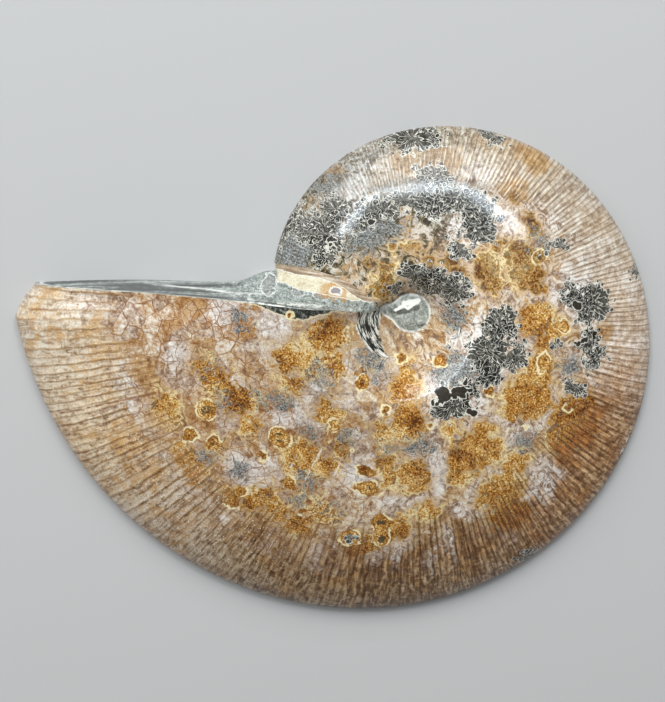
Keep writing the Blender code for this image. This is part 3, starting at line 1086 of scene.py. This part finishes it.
def inMillimetres():
    # the place on the stone in mm, measured from the coil's centre
    place = addNode("ShaderNodeTexCoord").outputs["Object"]
    scaled = vectorCalc("SCALE", place, scale=1.0 / mm)
    return vectorCalc("SUBTRACT", scaled, (coil["centre"][0] / mm, coil["centre"][1] / mm, 0.0))


def ringAt(u, v, middle, half, width):
    # a thin oval outline
    across = calc("MULTIPLY_ADD", u, 1.0 / half[0], -middle[0] / half[0])
    along = calc("MULTIPLY_ADD", v, 1.0 / half[1], -middle[1] / half[1])
    far = vectorCalc("LENGTH", joined(across, along))
    return far, lineAt(far, 1.0, width / half[0])


def strokeAt(place, start, end, width):
    # a short thick line on the plan
    span = Vector((end[0] - start[0], end[1] - start[1], 0.0))
    fromStart = vectorCalc("SUBTRACT", place, (*start, 0.0))
    share = vectorCalc("DOT_PRODUCT", fromStart, tuple(span / span.length_squared))
    share = calc("MULTIPLY", share, 1.0, clamp=True)
    nearest = vectorCalc("SCALE", tuple(span), scale=share)
    far = vectorCalc("LENGTH", vectorCalc("SUBTRACT", fromStart, nearest))
    return remap(far, width, 0.5 * width)


faceFinish = {
    "gloss": {"Roughness": 0.42, "Coat Weight": 0.12, "Coat Roughness": 0.10, "Specular IOR Level": 0.30},
    "matrix": ((0.05, (0.05, 0.055, 0.05)), (0.30, (0.15, 0.17, 0.155)), (0.50, (0.26, 0.29, 0.27)),
               (0.70, (0.40, 0.44, 0.41)), (0.95, (0.66, 0.69, 0.66))),
    "cream": ((0.10, (0.46, 0.38, 0.24)), (0.50, (0.60, 0.55, 0.40)), (0.90, (0.72, 0.69, 0.57))),
    "shell": ((0.10, (0.16, 0.10, 0.06)), (0.50, (0.33, 0.25, 0.17)), (0.90, (0.56, 0.50, 0.42))),
    "orange": (0.42, 0.205, 0.035),
    "lilac": (0.27, 0.235, 0.24),
    "line": (0.76, 0.77, 0.72),
    "seam": (0.018, 0.020, 0.018),
    "strip": (-45.0, -5.0),         # mm along the cut between which the band's edges are given
    "lowEdge": grey((0.35, 0.57), (0.465, 0.39), (0.64, 0.32), (0.77, 0.34), (0.82, 0.42), (1.0, 0.44)),
    "highEdge": grey((0.35, 0.92), (0.58, 0.88), (0.695, 0.76), (0.75, 0.61), (0.80, 0.46), (0.82, 0.42),
                     (1.0, 0.42)),
    "edgeScale": 5.0,
    "loops": (((-33.6, 12.5), (1.7, 6.6)), ((-26.9, 14.6), (1.5, 3.0)), ((-21.6, 15.4), (1.9, 2.3))),
    "loopLine": 0.17,
    "hole": ((-13.7, 12.6), (1.2, 1.3)),
    "holeLine": 0.14,
    "stainSize": 3.6,
}


def faceFields():
    x, y, z = parted(inMillimetres())
    at = {"x": x, "z": z, "gap": readField("gap"), "faceShare": readField("faceShare")}
    stretched = joined(product(x, 0.28), product(y, 1.0), product(z, 0.9))
    at["streak"] = grain(stretched, 0.7, 3.0, 0.6, flat=False)
    tall = joined(x, y, product(z, 0.35))
    at["fine"] = grain(tall, 0.50, 3.0, 0.8, flat=False)
    at["medium"] = grain(tall, 1.6, 4.0, 0.6, flat=False)
    at["layered"] = grain(joined(product(x, 0.10), shaken(at, z, medium=1.2)), 3.6, 5.0, 0.62)
    at["lined"] = grain(joined(product(x, 0.12), product(at["gap"], 2.4)), 1.0, 2.0, 0.6)
    return at


def faceTone(at):
    # mottled toward the hump, layered toward the outer edge
    outward = remap(shaken(at, "x", medium=6.0), -36.0, -50.0)
    layered = summed(centred(at["layered"], 2.9), centred(at["fine"], 0.9), -0.22)
    mottled = product(centred(at["fine"], 2.2), less(1.0, outward))
    return summed(tonedBy(at, streak=0.6, medium=1.0), mottled, product(layered, outward))


def faceLoops(at, colour):
    # lilac loops with pale outlines
    bentX, bentZ = shaken(at, "x", medium=3.0, fine=0.8), shaken(at, "z", medium=4.5)
    for middle, half in faceFinish["loops"]:
        far, line = ringAt(bentX, bentZ, middle, half, faceFinish["loopLine"])
        colour = laid(colour, "lilac", remap(far, 1.0, 0.9, 0.0, 0.25))
        line = product(line, remap(at["streak"], 0.38, 0.50, 0.3, 0.9))
        colour = laid(colour, "line", line)
    return colour


def faceBand(at, colour, tone):
    # the cream band of the inner whorl's wall, its stained hole, and the brown shell behind it
    left, right = faceFinish["strip"]
    along = calc("MULTIPLY_ADD", at["x"], 1.0 / (right - left), -left / (right - left))
    wavy = shaken(at, "gap", medium=0.8, fine=0.25)
    low, high = (product(ramp(along, faceFinish[name]), faceFinish["edgeScale"])
                 for name in ("lowEdge", "highEdge"))
    started = remap(shaken(at, "x", medium=2.0), -32.2, -31.4)
    above = less(wavy, low)
    colour = mix(product(started, remap(above, -0.05, 0.10)), colour, ramp(tone, "cream"))
    leaning = shaken(at, summed(at["x"], product(at["z"], 0.35)), medium=2.2, fine=0.6)
    far, outline = ringAt(leaning, shaken(at, "z", medium=2.0), *faceFinish["hole"], faceFinish["holeLine"])
    spot = product(remap(shaken(at, far, medium=6.0), faceFinish["stainSize"], 2.2), started)
    colour = laid(colour, "orange", spot, remap(at["fine"], 0.30, 0.55, 1.0, 0.55))
    colour = laid(colour, "line", lineAt(above, 0.0, 0.09), started, 0.8)
    colour = laid(colour, "line", remap(far, 1.5, 1.1, 0.0, 0.6))
    colour = laid(colour, "lilac", remap(far, 1.0, 0.85))
    colour = laid(colour, "line", outline)
    over = less(wavy, high)
    onShell = product(remap(over, -0.05, 0.10), remap(at["x"], -45.0, -38.0))
    shell = ramp(tonedBy(at, lined=1.5, fine=0.8, medium=0.6), "shell")
    colour = mix(onShell, colour, shell)
    colour = laid(colour, "line", lineAt(over, 0.0, 0.10), started, 0.8)
    # painted highlight: a thin white glint line along the band
    glint = product(lineAt(wavy, 0.22, 0.10), remap(at["medium"], 0.42, 0.52), remap(at["x"], -18.0, -24.0),
                    remap(at["x"], -46.0, -36.0))
    return laid(colour, "line", glint, 0.9)


def faceLines(at, colour):
    # a white seam along the layers, a dark one under the rim, a white edge round the hump and one at the rim
    seam = product(lineAt(shaken(at, "faceShare", layered=0.10), 0.58, 0.05), remap(at["x"], -66.0, -54.0),
                   remap(at["x"], -30.0, -40.0), remap(at["streak"], 0.36, 0.52))
    colour = laid(colour, "line", seam, 0.85)
    under = product(lineAt(at["faceShare"], 0.91, 0.045), remap(at["x"], -62.0, -50.0),
                    remap(at["x"], -18.0, -24.0), remap(at["layered"], 0.62, 0.46, 0.3, 1.0))
    colour = laid(colour, "seam", under, 0.85)
    edging = product(remap(shaken(at, "z", medium=0.8), 1.5, 0.7), remap(at["x"], -40.0, -35.0),
                     remap(at["x"], -25.0, -28.0))
    colour = laid(colour, "line", edging, 0.75)
    rim = product(remap(at["faceShare"], 0.955, 0.985), remap(at["medium"], 0.35, 0.50, 0.3, 0.9))
    return laid(colour, "line", rim)


def faceMaterial():
    material, shader = newMaterial("polishedMatrix", faceFinish)
    at = faceFields()
    tone = faceTone(at)
    colour = faceLoops(at, ramp(tone, "matrix"))
    colour = faceLines(at, faceBand(at, colour, tone))
    put(shader.inputs["Base Color"], colour)
    return material


plugFinish = {
    "gloss": {"Roughness": 0.40, "Coat Weight": 0.5, "Coat Roughness": 0.08},
    "tones": ((0.05, (0.045, 0.045, 0.033)), (0.30, (0.14, 0.15, 0.125)), (0.50, (0.26, 0.28, 0.245)),
              (0.70, (0.38, 0.40, 0.36)), (0.95, (0.58, 0.59, 0.54))),
    "line": (0.78, 0.78, 0.72),
    "shadow": (0.05, 0.048, 0.036),
    "underCrystal": ((-3.4, 0.2), (0.8, 1.4), 0.8),
    "crystal": (((-4.2, 0.7), (-2.6, 1.8), 0.45), ((-2.6, 1.8), (-1.3, 1.1), 0.40),
                ((-1.3, 1.1), (0.2, 2.4), 0.50), ((-2.2, 2.3), (1.0, 3.0), 0.85)),
    "edgeRows": (0.080, 0.091),
}


def plugMaterial():
    material, shader = newMaterial("umbilicalMatrix", plugFinish)
    place = inMillimetres()
    _, y, _ = parted(place)
    fine = grain(place, 0.5, 4.0, 0.8)
    medium = grain(place, 2.0, 3.0, 0.6, 0.8)
    tone = summed(toned((fine, 1.3), (medium, 1.5)), remap(y, -1.5, -4.5, 0.0, -0.10),
                  remap(y, 0.5, 3.5, 0.0, 0.08))
    colour = ramp(tone, "tones")
    bent = vectorCalc("MULTIPLY", warped(place, 1.2, 0.5), (1.0, 1.0, 0.0))
    under = strokeAt(bent, *plugFinish["underCrystal"])
    colour = laid(colour, "shadow", under, 0.8)
    for stroke in plugFinish["crystal"]:
        colour = laid(colour, "line", strokeAt(bent, *stroke))
    edge = remap(readField("faceRow"), *plugFinish["edgeRows"])
    edge = product(edge, remap(medium, 0.35, 0.55, 0.4, 0.95))
    put(shader.inputs["Base Color"], laid(colour, "line", edge))
    return material


backFinish = {
    "gloss": {"Roughness": 0.35, "Coat Weight": 0.5, "Coat Roughness": 0.08},
    "calcite": ((0.05, (0.20, 0.11, 0.05)), (0.35, (0.42, 0.30, 0.18)), (0.55, (0.55, 0.46, 0.34)),
                (0.95, (0.74, 0.70, 0.62))),
    "amber": ((0.05, (0.10, 0.035, 0.006)), (0.50, (0.36, 0.18, 0.04)), (0.95, (0.62, 0.46, 0.22))),
    "matrix": ((0.10, (0.10, 0.10, 0.085)), (0.50, (0.27, 0.28, 0.25)), (0.90, (0.46, 0.48, 0.44))),
    "wall": (0.16, 0.09, 0.045),
    "lining": (0.74, 0.70, 0.60),
    "chamber": radians(13.0),       # turn of the coil that one chamber fills
    "bow": 0.55,                    # how far a dividing wall bulges, in chambers
    "livingRoom": radians(115.0),   # the last, undivided part, filled with grey stone
    "livingBlend": 0.05,
}


def backMaterial():
    # the sawn side: spiral walls, and curved walls between the chambers
    material, shader = newMaterial("sawnBack", backFinish)
    place = inMillimetres()
    at = {"fine": grain(place, 0.6, 4.0, 0.8), "medium": grain(place, 3.0, 4.0, 0.6, 1.0)}
    x, y, _ = parted(warped(place, 6.0, 0.8, 2.0))
    turn = calc("WRAP", calc("ARCTAN2", product(y, -1.0), product(x, -1.0)), 2 * pi, 0.0)
    radius = vectorCalc("LENGTH", joined(x, y))
    wound = calc("LOGARITHM", product(radius, mm / coil["mouthRadius"]), exp(1.0))
    wound = product(wound, -1.0 / coil["shrinkPerRadian"])
    whorls = product(less(wound, turn), 1.0 / (2 * pi))
    edge = calc("PINGPONG", calc("FRACT", whorls), 0.5)
    total = calc("MULTIPLY_ADD", calc("FLOOR", whorls), 2 * pi, turn)
    bulge = product(edge, 2.0 * backFinish["bow"])
    chamber = calc("MULTIPLY_ADD", total, 1.0 / backFinish["chamber"], bulge)
    seam = calc("PINGPONG", chamber, 0.5)
    tone = tonedBy(at, fine=1.2, medium=1.4)
    calcite, amber, matrix = (ramp(tone, backFinish[name]) for name in ("calcite", "amber", "matrix"))
    filling = shaken(at, whiteNoise(calc("FLOOR", chamber), 1.0), medium=1.2)
    colour = mix(remap(filling, 0.35, 0.60), calcite, amber)
    colour = laid(colour, "lining", remap(seam, 0.13, 0.08))
    colour = laid(colour, "wall", remap(seam, 0.045, 0.025))
    lived = backFinish["livingRoom"]
    living = remap(shaken(at, total, medium=0.3), lived, lived - backFinish["livingBlend"])
    colour = mix(living, colour, matrix)
    colour = laid(colour, "lining", remap(edge, 0.045, 0.030))
    colour = laid(colour, "wall", remap(edge, 0.020, 0.010))
    put(shader.inputs["Base Color"], colour)
    return material


studio = {
    "target": (-0.38 * mm, 4.90 * mm, 0.0),
    "distance": 520.0 * mm,
    "tilt": radians(10.4),
    "lens": 112.5,
    "sensor": 36.0,
    "nearest": 0.01,
    "floorSize": 3.0,
    "worldColour": (0.80, 0.80, 0.80, 1.0),
    "worldStrength": 0.42,
    "lampAim": (0.0, 0.01, 0.0),
}

floorFinish = {
    "gloss": {"Roughness": 0.9, "Coat Weight": 0.0, "Coat Roughness": 0.05},
    "colour": (0.41, 0.405, 0.40, 1.0),
}


def makeFloor():
    bm = bmesh.new()
    bmesh.ops.create_grid(bm, x_segments=1, y_segments=1, size=studio["floorSize"] / 2)
    mesh = bpy.data.meshes.new("floor")
    bm.to_mesh(mesh)
    bm.free()
    floor = addObject("floor", mesh)
    material, shader = newMaterial("paleFloor", floorFinish)
    shader.inputs["Base Color"].default_value = floorFinish["colour"]
    mesh.materials.append(material)


def makeCamera():
    data = bpy.data.cameras.new("camera")
    data.lens = studio["lens"]
    data.sensor_width = studio["sensor"]
    data.clip_start = studio["nearest"]
    camera = addObject("camera", data)
    tilt = studio["tilt"]
    camera.location = Vector(studio["target"]) + studio["distance"] * Vector((0.0, sin(tilt), cos(tilt)))
    camera.rotation_euler = (-tilt, 0.0, 0.0)
    bpy.context.scene.camera = camera
    print("camera")


# name: (place, size, power, colour, turn of the bar in degrees, or None where the lamp looks at the stone)
lamps = {
    "leftBar": ((-0.335, 0.27, 0.63), (0.26, 0.055), 1.00, (0.78, 0.90, 1.0), 62.0),
    "middleBar": ((-0.10, 0.405, 0.63), (0.32, 0.055), 1.25, (0.78, 0.90, 1.0), 12.0),
    "rightBar": ((0.20, 0.375, 0.63), (0.32, 0.050), 1.10, (0.78, 0.90, 1.0), -28.0),
    "backBar": ((0.0, 0.83, 0.50), (0.70, 0.03), 1.1, (0.85, 0.93, 1.0), None),
    "leftSoft": ((-0.95, 0.42, 0.60), (0.5, 0.5), 3.0, (1.0, 0.99, 0.97), None),
    "softTop": ((-0.12, 1.06, 1.06), (1.4, 0.5), 19.5, (1.0, 0.99, 0.97), None),
}


def makeLamps():
    aim = Vector(studio["lampAim"])
    for name, (place, size, power, colour, turned) in lamps.items():
        data = bpy.data.lights.new(name, "AREA")
        data.shape = "RECTANGLE"
        data.size, data.size_y = size
        data.energy = power
        data.color = colour
        lamp = addObject(name, data)
        lamp.location = place
        if turned is None:
            lamp.rotation_euler = (aim - Vector(place)).to_track_quat("-Z", "Y").to_euler()
        else:
            lamp.rotation_euler = (0.0, 0.0, radians(turned))
    world = bpy.data.worlds.new("world")
    bpy.context.scene.world = world
    world.use_nodes = True
    background = world.node_tree.nodes["Background"]
    background.inputs["Color"].default_value = studio["worldColour"]
    background.inputs["Strength"].default_value = studio["worldStrength"]
    bpy.context.scene.view_settings.view_transform = "Standard"
    print("lamps", len(lamps))


stone = makeStone()
for material in (shellMaterial(), faceMaterial(), plugMaterial(), backMaterial()):
    stone.data.materials.append(material)
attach(stone, "root")
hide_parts("ammonite_half")
print("stone", len(stone.data.polygons))
makeFloor()
makeCamera()
makeLamps()
